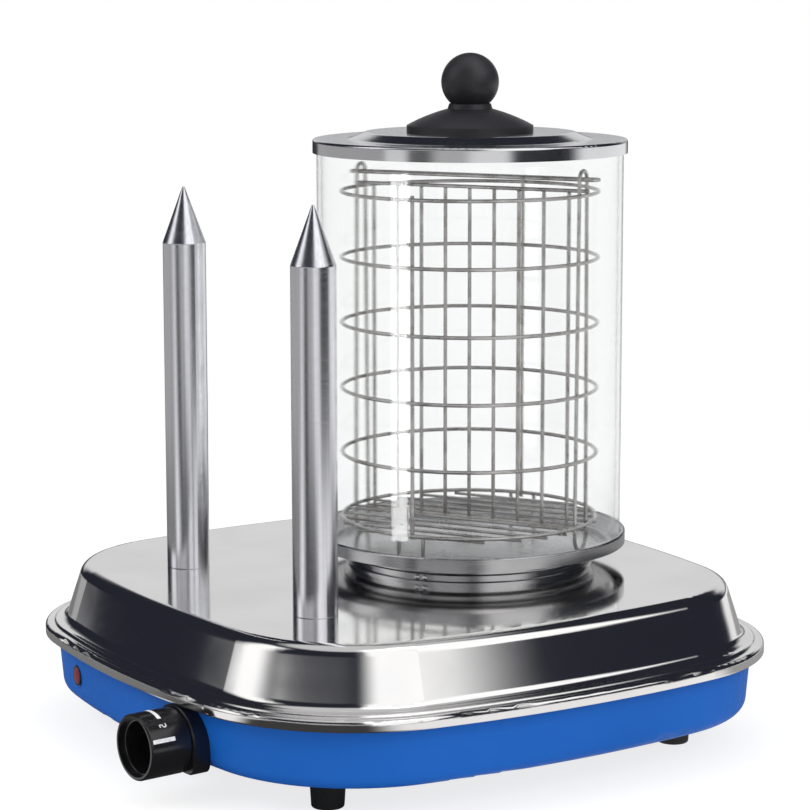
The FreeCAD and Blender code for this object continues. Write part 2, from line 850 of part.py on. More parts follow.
def lid_screw():
    """Screw from under the lid into its knob."""
    top = lid_plateau - lid_sheet - lid_washer_height
    head = disc(lid_screw_head_radius, top - lid_screw_head_height, top)
    shank = disc(lid_screw_radius, top, lid_plateau + lid_screw_depth - 1.0)
    return at(head.fuse(shank), 0, axis_y)


# Sausage basket

def basket_frame(shape):
    """Turns a basket piece to the divider's direction and stands it on the axis."""
    turned_piece = shape.copy()
    turned_piece.rotate(V(0, 0, 0), V(0, 0, 1), divider_angle)
    return at(turned_piece, 0, axis_y, deck_top)


def wire_ring(level):
    """One closed wire ring."""
    return Part.makeTorus(ring_radius, ring_wire, V(0, 0, level))


def basket_rings():
    """Rings round the basket, evenly spaced above the base ring."""
    levels = [base_ring_level + ring_pitch * (k + 1) for k in range(ring_count)]
    return basket_frame(Part.makeCompound([wire_ring(level) for level in levels]))


def basket_base_ring():
    """Ring that carries the grate."""
    return basket_frame(wire_ring(base_ring_level))


def basket_grate():
    """Straight bars under the base ring, parallel to the divider."""
    level = base_ring_level - ring_wire - bar_wire - weld_gap
    bars = []
    for k in range(bar_count):
        y = (k - (bar_count - 1) / 2.0) * bar_pitch
        half = math.sqrt(ring_radius ** 2 - y * y) + ring_wire
        if abs(y) < post_bottom_arc + ring_wire + bar_wire:
            half = post_plane() - ring_wire - weld_gap
        bars.append(Part.makeCylinder(bar_wire, 2 * half, V(-half, y, level), V(1, 0, 0)))
    return basket_frame(Part.makeCompound(bars))


def post_plane():
    """Distance of the end posts from the axis: just inside the rings."""
    return math.sqrt((ring_radius - ring_wire) ** 2 - post_bottom_arc ** 2) - ring_wire - weld_gap


def divider_levels():
    """Heights of the divider's two rails: under the base ring and across the top ring."""
    reach = 2 * ring_wire + weld_gap
    return base_ring_level - reach, top_ring_level + reach


def divider_uprights():
    """Upright wires of the divider, from the lower rail to the upper one."""
    low, high = divider_levels()
    wires = []
    for k in range(upright_count):
        x = (k - (upright_count - 1) / 2.0) * upright_pitch
        wires.append(Part.makeCylinder(ring_wire, high - low - 2 * ring_wire, V(x, 0, low + ring_wire)))
    return basket_frame(Part.makeCompound(wires))


def divider_rails():
    """Two wires that tie the uprights together, one under the base ring and one on the top ring."""
    half = ring_radius + ring_wire
    rails = [Part.makeCylinder(ring_wire, 2 * half, V(-half, 0, level), V(1, 0, 0))
             for level in divider_levels()]
    return basket_frame(Part.makeCompound(rails))


def loop_wire(low, high, low_arc, high_arc, wire):
    """Closed upright loop in the YZ plane: two legs and two round ends."""
    lean = math.asin((low_arc - high_arc) / (high - low))
    c, s = math.cos(lean), math.sin(lean)
    low_y, low_z = low_arc * c, low + low_arc * s
    high_y, high_z = high_arc * c, high + high_arc * s
    path = Part.Wire([
        Part.Arc(V(0, -low_y, low_z), V(0, 0, low - low_arc), V(0, low_y, low_z)).toShape(),
        Part.LineSegment(V(0, low_y, low_z), V(0, high_y, high_z)).toShape(),
        Part.Arc(V(0, high_y, high_z), V(0, 0, high + high_arc), V(0, -high_y, high_z)).toShape(),
        Part.LineSegment(V(0, -high_y, high_z), V(0, -low_y, low_z)).toShape()])
    section = Part.Wire(Part.makeCircle(wire, V(0, -low_y, low_z), V(0, s, -c)))
    return path.makePipeShell([section], True, False)


def end_posts():
    """Hairpin loops at the divider's two ends: feet below, eyes for the handle above."""
    low = bowl_floor_height + seat_gap + ring_wire + post_bottom_arc
    high = post_top_height - post_top_arc
    post = loop_wire(low, high, post_bottom_arc, post_top_arc, ring_wire)
    posts = [at(post, sx * post_plane()) for sx in (-1, 1)]
    return basket_frame(Part.makeCompound(posts))


def side_posts():
    """Single uprights half way between the end posts, from the grate to the top ring."""
    low = base_ring_level - 2 * ring_wire
    high = top_ring_level + 2 * ring_wire
    y = ring_radius - 2 * ring_wire - weld_gap
    posts = [Part.makeCylinder(ring_wire, high - low, V(0, sy * y, low)) for sy in (-1, 1)]
    return basket_frame(Part.makeCompound(posts))


def side_feet():
    """Loops of wire under the side posts that stand in the bowl."""
    high = base_ring_level - ring_wire - weld_gap
    low = bowl_floor_height + seat_gap + ring_wire
    half = foot_loop_width / 2
    y = ring_radius - 0.5 * ring_wire
    arc = foot_loop_arc
    knee = arc * math.sqrt(0.5)
    turn = half - arc
    path = Part.Wire([
        Part.LineSegment(V(-half, 0, high), V(-half, 0, low + arc)).toShape(),
        Part.Arc(V(-half, 0, low + arc), V(-turn - knee, 0, low + arc - knee), V(-turn, 0, low)).toShape(),
        Part.LineSegment(V(-turn, 0, low), V(turn, 0, low)).toShape(),
        Part.Arc(V(turn, 0, low), V(turn + knee, 0, low + arc - knee), V(half, 0, low + arc)).toShape(),
        Part.LineSegment(V(half, 0, low + arc), V(half, 0, high)).toShape()])
    section = Part.Wire(Part.makeCircle(ring_wire, V(-half, 0, high), V(0, 0, -1)))
    loop = path.makePipeShell([section], True, False)
    return basket_frame(Part.makeCompound([at(loop, 0, sy * y) for sy in (-1, 1)]))


def basket_handle():
    """Long narrow loop held in the two eyes."""
    w = handle_half_width
    left = -post_plane() - handle_tail
    right = post_plane() + handle_overrun - w - ring_wire
    path = Part.Wire([
        Part.LineSegment(V(left, -w, 0), V(right, -w, 0)).toShape(),
        Part.Arc(V(right, -w, 0), V(right + w, 0, 0), V(right, w, 0)).toShape(),
        Part.LineSegment(V(right, w, 0), V(left, w, 0)).toShape(),
        Part.Arc(V(left, w, 0), V(left - w, 0, 0), V(left, -w, 0)).toShape()])
    section = Part.Wire(Part.makeCircle(ring_wire, V(left, -w, 0), V(1, 0, 0)))
    level = post_top_height - post_top_arc + handle_rise
    return basket_frame(at(path.makePipeShell([section], True, False), 0, 0, level))


# Control panel: each piece is made at the middle of the front side and carried to its place

def edges_at(shape, y):
    """Edges of a piece that lie in one plane of constant Y."""
    return [e for e in shape.Edges if all(abs(v.Y - y) < 1e-6 for v in e.Vertexes)]


def bezel_outline():
    """Face with a round top and a flat bottom, facing the front."""
    r, y, z0 = bezel_radius, bezel_front, knob_height
    low = z0 - bezel_drop
    turn = r - bezel_corner
    knee = bezel_corner * math.sqrt(0.5)
    edges = [
        Part.Arc(V(r, y, z0), V(0, y, z0 + r), V(-r, y, z0)).toShape(),
        Part.LineSegment(V(-r, y, z0), V(-r, y, low + bezel_corner)).toShape(),
        Part.Arc(V(-r, y, low + bezel_corner), V(-turn - knee, y, low + bezel_corner - knee),
                 V(-turn, y, low)).toShape(),
        Part.LineSegment(V(-turn, y, low), V(turn, y, low)).toShape(),
        Part.Arc(V(turn, y, low), V(turn + knee, y, low + bezel_corner - knee),
                 V(r, y, low + bezel_corner)).toShape(),
        Part.LineSegment(V(r, y, low + bezel_corner), V(r, y, z0)).toShape()]
    return Part.Face(Part.Wire(edges))


def tub_envelope():
    """Thick ring behind the housing's outer wall, used to fit pieces to it."""
    deep = tub_inset(foot_height) + 3 * tub_bottom_radius
    return outline_ring([(deep, foot_height, 0), (deep, flange_top, 0),
                         (tub_inset(flange_top), flange_top, 0),
                         (tub_inset(foot_height), foot_height, tub_bottom_radius)])


def knob_bezel():
    """Black escutcheon behind the control knob, fitted to the housing."""
    depth = bezel_proud + tub_inset(foot_height + tub_bottom_radius)
    block = bezel_outline().extrude(V(0, depth, 0))
    block = block.makeFillet(bezel_edge, edges_at(block, bezel_front))
    block = block.cut(tub_envelope())
    pocket_end = bezel_front + thermostat_nut_height + nut_pocket_gap
    pocket_radius = thermostat_nut_flats / 2 + nut_pocket_margin
    bore = forward_disc(bush_radius + bush_clearance, 0, knob_height, panel_back, bezel_front - 1)
    pocket = forward_disc(pocket_radius, 0, knob_height, pocket_end, bezel_front - 1)
    return on_front(block.cut(bore.fuse(pocket)), knob_place)


def control_knob():
    """Deep cupped knob: a ledge inside its rim, and an off centre well in the ledge."""
    body = forward_disc(knob_radius, 0, knob_height, knob_back, knob_front)
    body = body.makeFillet(knob_edge, edges_at(body, knob_front))
    floor = knob_front + knob_cup_depth
    ledge_level = knob_front + knob_ledge_depth
    cup = forward_disc(knob_cup_radius, knob_cup_offset, knob_height, floor, knob_front - 1)
    ledge = forward_disc(knob_ledge_radius, 0, knob_height, ledge_level, knob_front - 1)
    body = body.cut(cup.fuse(ledge))
    mouth = [e for e in edges_at(body, ledge_level) if abs(e.Curve.Radius - knob_cup_radius) < 1e-6]
    body = body.makeFillet(knob_ledge_edge, mouth)
    inside = knob_back - knob_back_depth
    hollow = forward_disc(knob_radius - knob_back_wall, 0, knob_height, knob_back + 1, inside)
    hub = forward_disc(shaft_radius + knob_hub_wall, 0, knob_height, knob_back + 1, inside)
    bore_end = floor + shaft_engagement
    bore = forward_disc(shaft_radius + shaft_clearance, 0, knob_height, knob_back + 1, bore_end)
    return on_front(body.cut(hollow.cut(hub)).cut(bore), knob_place)


def thermostat_shaft():
    """Round shaft from inside the thermostat into the knob."""
    end = knob_front + knob_cup_depth + shaft_engagement + shaft_end_gap
    return on_front(forward_disc(shaft_radius, 0, knob_height, panel_back + shaft_inside, end), knob_place)


def thermostat():
    """Switch body with a bush through the housing's front."""
    body = Part.makeBox(thermostat_width, thermostat_depth, thermostat_height,
                        V(-thermostat_width / 2, panel_back, knob_height - thermostat_height / 2))
    along = [e for e in body.Edges if abs(e.Vertexes[0].Y - e.Vertexes[-1].Y) > thermostat_depth / 2]
    body = body.makeFillet(thermostat_corner, along)
    body = body.fuse(forward_disc(bush_radius, 0, knob_height, panel_back + 1, bezel_front + shaft_end_gap))
    bore = forward_disc(shaft_radius + shaft_clearance, 0, knob_height,
                        panel_back + shaft_inside + 1, bezel_front - 1)
    return on_front(body.cut(bore), knob_place)


def thermostat_nut():
    """Thin nut on the bush, in the bezel's pocket."""
    nut = hexagon(thermostat_nut_flats, 0, thermostat_nut_height)
    nut = nut.cut(disc(bush_radius, -1, thermostat_nut_height + 1))
    nut.rotate(V(0, 0, 0), V(1, 0, 0), 90)
    return on_front(at(nut, 0, bezel_front + thermostat_nut_height + nut_pocket_gap, knob_height), knob_place)


def rounded_route(points, bend):
    """Wire path of straight runs joined by tangent arcs."""
    edges = []
    last = V(*points[0])
    for before, corner, after in zip(points, points[1:], points[2:]):
        b, c, a = V(*before), V(*corner), V(*after)
        u = (b - c).normalize()
        w = (a - c).normalize()
        half = u.getAngle(w) / 2.0
        reach = min(bend / math.tan(half), 0.45 * min((b - c).Length, (a - c).Length))
        radius = reach * math.tan(half)
        middle = (u + w).normalize() * (radius / math.sin(half) - radius)
        start, end = c + u * reach, c + w * reach
        edges.append(Part.LineSegment(last, start).toShape())
        edges.append(Part.Arc(start, c + middle, end).toShape())
        last = end
    edges.append(Part.LineSegment(last, V(*points[-1])).toShape())
    return Part.Wire(edges)


def routed_tube(points, radius, bend):
    """Solid tube along a rounded route."""
    path = rounded_route(points, bend)
    direction = V(*points[1]) - V(*points[0])
    section = Part.Wire(Part.makeCircle(radius, V(*points[0]), direction))
    return path.makePipeShell([section], True, False)


def thermostat_sensor():
    """Bulb beside the clamp strap and its capillary to the thermostat."""
    z = element_place() - element_tube - bulb_radius
    y = axis_y - clamp_width / 2 - bulb_radius - wall_gap
    start = bulb_length / 2 - bulb_shift
    bulb = Part.makeCylinder(bulb_radius, bulb_length, V(start - bulb_length, y, z), V(1, 0, 0))
    entry = knob_height + thermostat_height / 4
    last = front_point(knob_place, 0, panel_back + thermostat_depth, entry)
    before = front_point(knob_place, 0, y - capillary_drop, entry)
    route = [(start, y, z), (before[0], y, z), before, last]
    return bulb.fuse(routed_tube(route, capillary_radius, capillary_bend))


def lamp_holder():
    """Rim and barrel of the indicator lamp."""
    front = lamp_wall - lamp_rim_proud
    rim = forward_disc(lamp_rim_radius, 0, lamp_height, lamp_wall + tub_wall, front)
    rim = rim.makeFillet(lamp_rim_edge, edges_at(rim, front)).cut(tub_envelope())
    barrel = forward_disc(lamp_barrel_radius, 0, lamp_height, lamp_wall + lamp_barrel_length, lamp_wall)
    seat = forward_disc(lens_radius + lens_clearance, 0, lamp_height, lamp_wall + lens_depth, front - 1)
    return on_front(rim.fuse(barrel).cut(seat), -lamp_place)


def lamp_lens():
    """Domed lens set in the lamp's rim."""
    base = lamp_wall + lens_depth
    length = lens_depth + lamp_rim_proud + lens_dome
    shoulder = length - lens_dome
    lens = turned([(0, 0, 0), (lens_radius, 0, 0), (lens_radius, shoulder, lens_dome / 2),
                   (lens_radius / 2, length - lens_dome / 4, lens_radius / 3), (0, length, 0)])
    lens.rotate(V(0, 0, 0), V(1, 0, 0), 90)
    return on_front(at(lens, 0, base, lamp_height), -lamp_place)


def lamp_nut():
    """Push-on ring that holds the lamp behind the wall."""
    back = front_y(lamp_nut_radius, tub_inner_inset(lamp_height - lamp_nut_radius)) + weld_gap
    outer = forward_disc(lamp_nut_radius, 0, lamp_height, back + lamp_nut_height, back)
    inner = forward_disc(lamp_barrel_radius, 0, lamp_height, back + lamp_nut_height + 1, back - 1)
    return on_front(outer.cut(inner), -lamp_place)


# Wiring

def pole_places():
    """X of each pole of the terminal block."""
    pitch = terminal_size[0] / terminal_poles
    return [cable_x + (k - (terminal_poles - 1) / 2.0) * pitch for k in range(terminal_poles)]


def terminal_block():
    """Block on the floor beside the cable bush, with a well for each screw."""
    sx, sy, sz = terminal_size
    block = Part.makeBox(sx, sy, sz, V(cable_x - sx / 2, terminal_y - sy / 2, floor_top))
    well_radius = terminal_screw_radius + terminal_screw_clearance
    well = disc(well_radius, floor_top + sz - terminal_well, floor_top + sz + 1)
    return block.cut(Part.makeCompound([at(well, x, terminal_y) for x in pole_places()]))


def terminal_screws():
    """Screws in the tops of the poles."""
    low = floor_top + terminal_size[2] - terminal_well
    screw = disc(terminal_screw_radius, low, low + terminal_screw_height)
    return Part.makeCompound([at(screw, x, terminal_y) for x in pole_places()])


def cable_bush():
    """Bored plastic bush in the rear wall, where the mains lead would enter."""
    z = cable_bush_height
    wall = -front_y(cable_x, tub_inset(z))
    end = wall + cable_bush_proud
    flange = forward_disc(cable_bush_radius, cable_x, z, end, wall - cable_bush_proud)
    flange = flange.makeFillet(cable_bush_edge, edges_at(flange, end)).cut(tub_envelope())
    barrel = forward_disc(cable_bush_barrel, cable_x, z, wall + cable_bush_proud / 2, wall - cable_bush_reach)
    bore = forward_disc(cable_bush_bore, cable_x, z, end + 1, wall - cable_bush_reach - 1)
    return flange.fuse(barrel).cut(bore)


def wiring():
    """Sleeved wires from the terminal block to the thermostat, lamp and heaters."""
    low = floor_top + 2 * wire_radius
    back = terminal_y - terminal_size[1] / 2
    away = 2.2 * wire_bend
    entry = floor_top + terminal_size[2] / 3
    left_pole, middle_pole, right_pole = pole_places()
    lamp_end = lamp_wall + lamp_barrel_length
    thermostat_end = panel_back + thermostat_depth
    tag_x, tag_z = -thermostat_width / 4, knob_height - thermostat_height / 5
    heater_z = deck_top - spigot_length - heater_tail - spike_lead_length
    loop_y = spike_y + wire_bend
    right = spike_x + wire_spread
    left = spike_x - wire_spread
    routes = [
        [(left_pole, back, entry), (left_pole, back - away, entry), (-lamp_place - away, 0, low),
         front_point(-lamp_place, 0, lamp_end + away, lamp_height),
         front_point(-lamp_place, 0, lamp_end, lamp_height)],
        [(middle_pole, back, entry), (middle_pole, back - away, entry), (knob_place, 0, low),
         front_point(knob_place, tag_x, thermostat_end + away, tag_z),
         front_point(knob_place, tag_x, thermostat_end, tag_z)],
        [(right_pole, back, entry), (right_pole, back - away, entry), (right + away, away, low),
         (right, spike_y, heater_z - away), (right, spike_y, heater_z)],
        [(-spike_x, spike_y, heater_z), (-spike_x, spike_y, heater_z - away),
         (away - spike_x, loop_y, low + away), (left - away, loop_y, low + away),
         (left, spike_y, heater_z - away), (left, spike_y, heater_z)]]
    return Part.makeCompound([routed_tube(route, wire_radius, wire_bend) for route in routes])


parts = {
    "housing": housing,
    "bottom_cover": bottom_cover,
    "cover_screws": cover_screws,
    "deck": deck,
    "feet": feet,
    "frame_screws": frame_screws,
    "spacer_tubes": spacer_tubes,
    "weld_nuts": weld_nuts,
    "spike_left": lambda: spike(*spike_places[0]),
    "spike_right": lambda: spike(*spike_places[1]),
    "spike_heater_left": lambda: spike_heater(*spike_places[0]),
    "spike_heater_right": lambda: spike_heater(*spike_places[1]),
    "spike_washers": spike_washers,
    "spike_nuts": spike_nuts,
    "steam_bowl": steam_bowl,
    "bowl_collar": bowl_collar,
    "collar_studs": collar_studs,
    "heating_plate": heating_plate,
    "heating_element": heating_element,
    "element_clamp": element_clamp,
    "clamp_bolts": clamp_bolts,
    "clamp_nuts": clamp_nuts,
    "thermal_cutout": thermal_cutout,
    "glass_cylinder": glass_cylinder,
    "lid": lid,
    "lid_knob": lid_knob,
    "lid_washer": lid_washer,
    "lid_screw": lid_screw,
    "basket_rings": basket_rings,
    "basket_base_ring": basket_base_ring,
    "basket_grate": basket_grate,
    "divider_uprights": divider_uprights,
    "divider_rails": divider_rails,
    "basket_end_posts": end_posts,
    "basket_side_posts": side_posts,
    "basket_side_feet": side_feet,
    "basket_handle": basket_handle,
    "knob_bezel": knob_bezel,
    "control_knob": control_knob,
    "thermostat_shaft": thermostat_shaft,
    "thermostat": thermostat,
    "thermostat_nut": thermostat_nut,
    "thermostat_sensor": thermostat_sensor,
    "lamp_holder": lamp_holder,
    "lamp_lens": lamp_lens,
    "lamp_nut": lamp_nut,
    "terminal_block": terminal_block,
    "terminal_screws": terminal_screws,
    "cable_bush": cable_bush,
    "wiring": wiring,
}

os.makedirs("parts", exist_ok=True)
for name, make in parts.items():
    piece = at(make(), 0, base_y, 0)
    piece.exportStep("parts/" + name + ".step")
    solids = piece.Solids
    print(name, len(solids), "solids, valid", piece.isValid(), "volume", round(piece.Volume, 1))
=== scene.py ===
import json
import math

import bmesh
import bpy
from mathutils import Matrix, Vector


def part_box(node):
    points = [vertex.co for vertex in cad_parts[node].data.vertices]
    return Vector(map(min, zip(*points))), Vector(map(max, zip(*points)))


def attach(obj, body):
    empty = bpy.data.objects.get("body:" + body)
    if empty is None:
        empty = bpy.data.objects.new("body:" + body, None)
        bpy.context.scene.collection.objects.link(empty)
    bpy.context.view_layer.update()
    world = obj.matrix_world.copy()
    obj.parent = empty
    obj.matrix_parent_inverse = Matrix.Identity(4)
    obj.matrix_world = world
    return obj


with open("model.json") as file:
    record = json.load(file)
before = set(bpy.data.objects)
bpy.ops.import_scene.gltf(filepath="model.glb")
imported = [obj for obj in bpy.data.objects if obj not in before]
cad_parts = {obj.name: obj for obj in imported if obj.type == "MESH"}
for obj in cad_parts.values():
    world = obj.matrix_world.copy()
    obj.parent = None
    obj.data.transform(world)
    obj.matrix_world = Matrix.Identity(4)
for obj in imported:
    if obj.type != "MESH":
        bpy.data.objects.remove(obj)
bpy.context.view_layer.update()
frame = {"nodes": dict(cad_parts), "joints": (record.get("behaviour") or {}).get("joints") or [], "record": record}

MM = 0.001
DEGREES = 180.0 / math.pi
UP = Vector((0.0, 0.0, 1.0))

# Camera: place, direction and lens, in metres, degrees and millimetres
CAMERA_PLACE = (1.20113, -0.74589, 0.39651)
CAMERA_TURN = 57.67
CAMERA_DIP = 9.06
CAMERA_ROLL = -0.06
CAMERA_LENS = 122.04
CAMERA_NEAR = 0.05
SENSOR_WIDTH = 36.0

# Levels of the studio as metal sees it
ROOM_DARK = (0.018, 0.020, 0.030)
ROOM_GREY = 0.30
ROOM_WHITE = 0.90
ROOM_BACK = 0.71
ROOM_SIDES = 0.46
ROOM_TOP = 0.60
ROOM_FAINT = 0.16
SOFTBOX = 1.15

# Levels of the studio as the camera and matt surfaces see it
PLAIN_WHITE = (1.0, 1.0, 1.0)
AMBIENT = (0.62, 0.62, 0.63)

# Bands near the horizon: level, start and end direction and soft edge, in degrees
HORIZON_BASE = 0.02
HORIZON_BANDS = (
    (0.45, -60.0, -34.0, 6.0),
    (ROOM_WHITE, -34.0, -4.0, 5.0),
    (ROOM_WHITE, 49.0, 125.0, 8.0),
    (0.40, -190.0, -97.0, 6.0),
    (0.75, -97.0, -79.0, 2.0))

# Bands on the floor near the object, in the same order
FLOOR_BASE = 0.05
FLOOR_BANDS = (
    (ROOM_WHITE, -101.0, -78.0, 5.0),
    (ROOM_WHITE, -22.0, 48.0, 8.0),
    (ROOM_GREY, 48.0, 190.0, 10.0),
    (ROOM_FAINT, -190.0, -108.0, 8.0))

# Panels above the horizon: level, then start, end and soft edge of direction and of rise
ROOM_PANELS = (
    (ROOM_BACK, (112.0, 172.0, 8.0), (3.0, 22.0, 3.0)),
    (ROOM_SIDES, (-92.0, -34.0, 8.0), (5.5, 17.0, 2.0)),
    (SOFTBOX, (-130.0, -100.0, 10.0), (6.0, 50.0, 5.0)),
    (SOFTBOX, (-22.0, 24.0, 9.0), (6.0, 75.0, 5.0)),
    (SOFTBOX, (24.0, 42.0, 6.0), (20.5, 75.0, 1.5)),
    (SOFTBOX, (42.0, 58.0, 5.0), (25.0, 75.0, 3.0)))
FAINT_TURN = (-92.0, -34.0, 14.0)
FAINT_RISE = (10.0, 28.0)
TOP_RISE = (56.0, 66.0)
LOW_RISE = (-2.0, 1.0)

# Floor: size, levels for the camera, and the distances at which it changes
FLOOR_SIZE = 8.0
FLOOR_MATTE = 0.26
FLOOR_GLOW = 0.79
FLOOR_BOUNCE = 0.78
FLOOR_FADE = (0.35, 0.95)
HORIZON_FADE = (0.75, 1.0)

# Window strip that the glass mirrors
STRIP = 18.0
STRIP_ORIGIN = (0.040, -0.0145)
STRIP_BAND = (-94.5, -80.0, 0.6)
STRIP_FADE = (0.3, 0.5)

# Lamps: name, place, size and power
LAMP_TARGET = (0.0, 0.0, 0.15)
LAMPS = (
    ("key", (-0.4, -1.7, 1.5), (1.4, 1.0), 16.0),
    ("fill", (1.8, 0.5, 1.2), (1.2, 1.2), 14.0),
    ("top", (0.0, 0.2, 2.0), (1.6, 1.6), 14.0))

# Surface detail
BEND_RADIUS = 1.2 * MM
BEND_SAMPLES = 8
GRAIN_DEPTH = 0.0002
PEEL_DEPTH = 0.0003
DRAWN_DEPTH = 0.0006
INK_DEPTH = 0.0001
RING_SCALE = 4200.0
GLASS_CLEAR = 0.55

# Print on the dial: angles in degrees, depths behind the knob's face
PRINT_LIFT = 0.05 * MM
POINTER_ANGLES = (17.0, 24.0)
POINTER_DEPTHS = (1.2 * MM, 13.5 * MM)
WEDGE_ANGLES = (250.0, 62.0)
WEDGE_DEPTHS = (8.4 * MM, 10.6 * MM)
WEDGE_TAPER = 0.9
NUMBER_SIZE = 5.6 * MM
NUMBERS = (
    ("1", 232.0, 13.6 * MM),
    ("2", 192.0, 13.6 * MM),
    ("3", 152.0, 13.6 * MM),
    ("4", 112.0, 13.6 * MM),
    ("5", 46.0, 9.4 * MM))

# Places read from the model
KNOB_LOW, KNOB_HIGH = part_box("control_knob")
KNOB_CENTRE = (KNOB_LOW + KNOB_HIGH) / 2
KNOB_RADIUS = (KNOB_HIGH.z - KNOB_LOW.z) / 2
KNOB_JOINT = next(joint for joint in frame["joints"] if joint["name"] == "knob_turn")
KNOB_OUT = Vector(KNOB_JOINT["axis"]).normalized()
KNOB_SIDE = UP.cross(KNOB_OUT)
KNOB_SPAN = KNOB_HIGH - KNOB_LOW
KNOB_DEPTH = (KNOB_SPAN.y - 2 * KNOB_RADIUS * abs(KNOB_OUT.x)) / abs(KNOB_OUT.y)
KNOB_FACE = KNOB_CENTRE + KNOB_OUT * (KNOB_DEPTH / 2)
GLASS_LOW, GLASS_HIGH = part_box("glass_cylinder")
AXIS = ((GLASS_LOW + GLASS_HIGH) / 2).to_2d()


# Node helpers

class Nodes:
    """Short calls for building one node tree."""

    def __init__(self, tree):
        self.tree = tree
        self.count = 0

    def add(self, kind, **values):
        """A new node in the next free place of a grid."""
        node = self.tree.nodes.new(kind)
        node.location = (self.count % 8 * 200 - 1600, -(self.count // 8) * 260)
        self.count += 1
        for name, value in values.items():
            setattr(node, name, value)
        return node

    def put(self, value, socket):
        """Links an output to the socket, or sets the socket's own value."""
        if isinstance(value, bpy.types.NodeSocket):
            self.tree.links.new(value, socket)
        else:
            socket.default_value = value

    def math(self, operation, a, b=0.0):
        node = self.add("ShaderNodeMath", operation=operation)
        self.put(a, node.inputs[0])
        self.put(b, node.inputs[1])
        return node.outputs[0]

    def ramp(self, value, low, high, start=0.0, end=1.0):
        """Smooth change from start to end as the value goes from low to high."""
        node = self.add("ShaderNodeMapRange", interpolation_type="SMOOTHSTEP")
        for index, number in enumerate((value, low, high, start, end)):
            self.put(number, node.inputs[index])
        return node.outputs[0]

    def band(self, value, low, high, edge):
        """One inside a range of values and zero outside, with soft edges."""
        rise = self.ramp(value, low - edge, low + edge)
        fall = self.ramp(value, high - edge, high + edge, 1.0, 0.0)
        return self.math("MULTIPLY", rise, fall)

    def mix(self, factor, a, b, kind="MIX"):
        """Mix of two colours, each a socket or a tuple."""
        node = self.add("ShaderNodeMix", data_type="RGBA", blend_type=kind)
        self.put(factor, node.inputs["Factor"])
        for value, socket in ((a, node.inputs[6]), (b, node.inputs[7])):
            linked = isinstance(value, bpy.types.NodeSocket)
            self.put(value if linked else (*value, 1.0), socket)
        return node.outputs[2]

    def place(self, output="Object"):
        """The x, y and z of the point or direction."""
        source = self.add("ShaderNodeTexCoord")
        split = self.add("ShaderNodeSeparateXYZ")
        self.put(source.outputs[output], split.inputs[0])
        return split.outputs

    def coords(self, scale=(1.0, 1.0, 1.0)):
        """Object coordinates, stretched."""
        source = self.add("ShaderNodeTexCoord")
        stretch = self.add("ShaderNodeMapping")
        stretch.inputs["Scale"].default_value = scale
        self.tree.links.new(source.outputs["Object"], stretch.inputs["Vector"])
        return stretch.outputs[0]

    def noise(self, vector, scale, detail=3.0, roughness=0.5):
        node = self.add("ShaderNodeTexNoise")
        self.put(vector, node.inputs["Vector"])
        self.put(scale, node.inputs["Scale"])
        self.put(detail, node.inputs["Detail"])
        self.put(roughness, node.inputs["Roughness"])
        return node.outputs["Fac"]

    def rounded(self, radius):
        """Normal averaged over a small radius, which evens out the facets of tight bends."""
        node = self.add("ShaderNodeBevel", samples=BEND_SAMPLES)
        node.inputs["Radius"].default_value = radius
        return node.outputs[0]

    def bump(self, height, strength, distance):
        node = self.add("ShaderNodeBump")
        self.put(height, node.inputs["Height"])
        self.put(strength, node.inputs["Strength"])
        self.put(distance, node.inputs["Distance"])
        return node.outputs[0]

    def blend(self, factor, first, second):
        """Mix of two shaders."""
        node = self.add("ShaderNodeMixShader")
        self.put(factor, node.inputs["Fac"])
        self.put(first.outputs[0], node.inputs[1])
        self.put(second.outputs[0], node.inputs[2])
        return node

    def matt(self, level):
        """Diffuse shader of an even grey."""
        node = self.add("ShaderNodeBsdfDiffuse")
        node.inputs["Color"].default_value = (level, level, level, 1.0)
        return node

    def glow(self, strength):
        """Emission shader of a given strength."""
        node = self.add("ShaderNodeEmission")
        self.put(strength, node.inputs["Strength"])
        return node


def new_material(name, metallic=0.0, roughness=0.5, color=(0.5, 0.5, 0.5), **sockets):
    """A material with its principled shader and a helper for its nodes."""
    material = bpy.data.materials.new(name)
    material.use_nodes = True
    shader = material.node_tree.nodes["Principled BSDF"]
    shader.inputs["Metallic"].default_value = metallic
    shader.inputs["Roughness"].default_value = roughness
    shader.inputs["Base Color"].default_value = (*color, 1.0)
    for key, value in sockets.items():
        shader.inputs[key.replace("_", " ")].default_value = value
    return material, shader, Nodes(material.node_tree)


def show(material, shader, n):
    """Makes a shader the material's surface."""
    n.put(shader.outputs[0], material.node_tree.nodes["Material Output"].inputs["Surface"])


def axis_distance(n, centre):
    """Distance from an upright axis, in metres."""
    point = n.place()
    x = n.math("SUBTRACT", point[0], centre[0])
    y = n.math("SUBTRACT", point[1], centre[1])
    return n.math("SQRT", n.math("ADD", n.math("MULTIPLY", x, x), n.math("MULTIPLY", y, y)))


# Materials

def polished_steel():
    """Mirror polished pressing with faint smears and hairlines."""
    material, shader, n = new_material("polished_steel", 1.0, 0.10, (0.84, 0.83, 0.82))
    smear = n.noise(n.coords((6.0, 6.0, 6.0)), 3.0, 4.0)
    lines = n.noise(n.coords((40.0, 500.0, 40.0)), 2.0, 2.0)
    color = n.mix(n.ramp(smear, 0.35, 0.7), (0.86, 0.85, 0.835), (0.80, 0.79, 0.785))
    n.put(color, shader.inputs["Base Color"])
    smeared = n.ramp(smear, 0.3, 0.8, 0.08, 0.11)
    n.put(n.math("ADD", smeared, n.ramp(lines, 0.45, 0.8, 0.0, 0.015)), shader.inputs["Roughness"])
    n.put(n.rounded(BEND_RADIUS), shader.inputs["Normal"])
    return material


